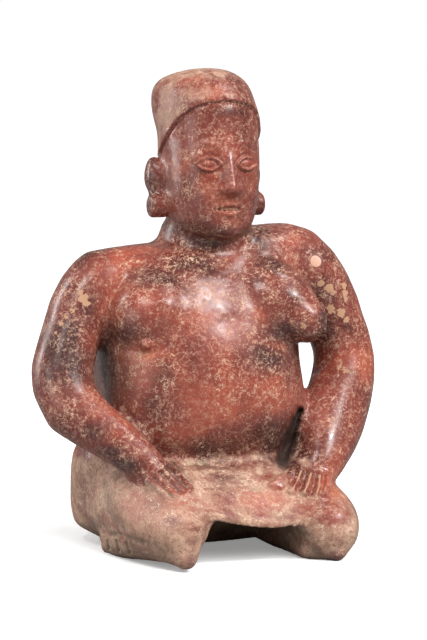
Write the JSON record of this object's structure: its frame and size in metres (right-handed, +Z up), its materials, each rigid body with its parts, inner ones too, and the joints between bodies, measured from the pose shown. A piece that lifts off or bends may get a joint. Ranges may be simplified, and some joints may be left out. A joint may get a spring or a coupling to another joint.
{
  "type": "seated female figure",
  "caption": "Seated woman in burnished red clay, hands on a lap stretched between the knees, with a tall cap and round ear spools; stands on a shelf or table.",
  "frame": {"origin": "middle of the figure's bounding box on the surface it sits on", "axes": "+Z up from the seat to the crown of the cap, -Y the way the figure faces, +X to the figure's own left"},
  "size_m": [0.344, 0.2373, 0.45],
  "materials": {
    "red_slip_clay": "burnished red slip, worn to tan on the lap, knees and cap"
  },
  "bodies": {
    "root": {"seated_figure": "red_slip_clay"}
  },
  "joints": []
}
